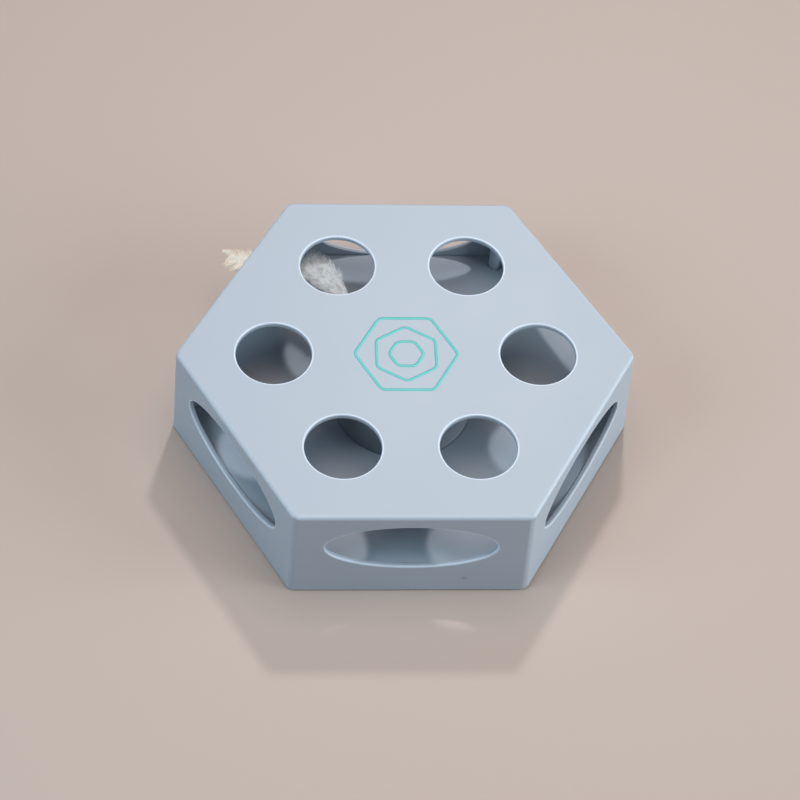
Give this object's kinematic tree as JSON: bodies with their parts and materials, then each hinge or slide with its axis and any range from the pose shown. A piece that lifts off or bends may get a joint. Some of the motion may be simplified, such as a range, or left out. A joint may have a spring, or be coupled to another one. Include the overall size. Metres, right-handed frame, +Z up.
{
  "type": "feather cat toy",
  "caption": "Low hexagonal battery cat toy: a motor tower turns an arm that carries feathers past round holes in the roof and oval windows in the walls.",
  "frame": {"origin": "centre of the toy on the surface that it stands on", "axes": "+Z up, +X through a corner of the hexagon, +Y from the front wall to the back wall"},
  "size_m": [0.2324, 0.2026, 0.06],
  "materials": {
    "cover_plastic": "fine satin moulding",
    "tray_plastic": "fine satin moulding",
    "rubber": "matt",
    "steel": "plated",
    "brass": "turned",
    "gear_plastic": "moulded",
    "arm_plastic": "moulded",
    "dark_plastic": "moulded",
    "cell_jacket": "shrunk film",
    "board": "lacquered",
    "lead_insulation": "smooth",
    "fluff": "down",
    "feather": "vane"
  },
  "bodies": {
    "base": {"top_cover": "cover_plastic", "base_tray": "tray_plastic", "deck": "tray_plastic", "rubber_feet": "rubber", "cover_screws": "steel", "motor_tower": "tray_plastic", "tower_base_screws": "steel", "gear_plate": "dark_plastic", "tower_cap": "tray_plastic", "tower_screws": "steel", "motor_can": "steel", "motor_endcap": "dark_plastic", "motor_screws": "steel", "motor_leads": "lead_insulation", "rotor_bush": "brass", "idler_axle": "steel", "battery_cells": "cell_jacket", "contact_plates": "steel", "contact_springs": "steel", "battery_door": "tray_plastic", "door_screw": "steel", "control_board": "board", "timer_chip": "dark_plastic", "board_capacitor": "cell_jacket", "board_screws": "steel", "switch_body": "dark_plastic"},
    "rotor": {"rotor_shaft": "steel", "output_gear": "gear_plastic", "rotor_arm": "arm_plastic", "rotor_screw": "steel", "feather_wand": "steel", "wand_ferrule": "brass", "fluff_feathers": "fluff", "long_feather": "feather"},
    "idler": {"idler_gear": "gear_plastic"},
    "motor_rotor": {"motor_shaft": "steel", "motor_pinion": "gear_plastic"},
    "switch": {"switch_slider": "rubber"}
  },
  "joints": [
    {"name": "rotor_spin", "type": "hinge", "parent": "base", "child": "rotor", "pos_m": [0, 0, 0.0479], "axis": [0, 0, 1], "continuous": true, "deforming": ["fluff_feathers", "long_feather"]},
    {"name": "idler_spin", "type": "hinge", "parent": "base", "child": "idler", "pos_m": [0.0075, 0.01299, 0.036], "axis": [0, 0, 1], "continuous": true},
    {"name": "motor_spin", "type": "hinge", "parent": "base", "child": "motor_rotor", "pos_m": [-0.0075, 0.01299, 0.0337], "axis": [0, 0, 1], "continuous": true},
    {"name": "switch_slide", "type": "slide", "parent": "base", "child": "switch", "axis": [1, 0, 0], "range_m": [0, 0.003]}
  ],
  "couplings": [
    {"joint": "idler_spin", "follows": "rotor_spin", "ratio": -4},
    {"joint": "motor_spin", "follows": "rotor_spin", "ratio": 16}
  ]
}
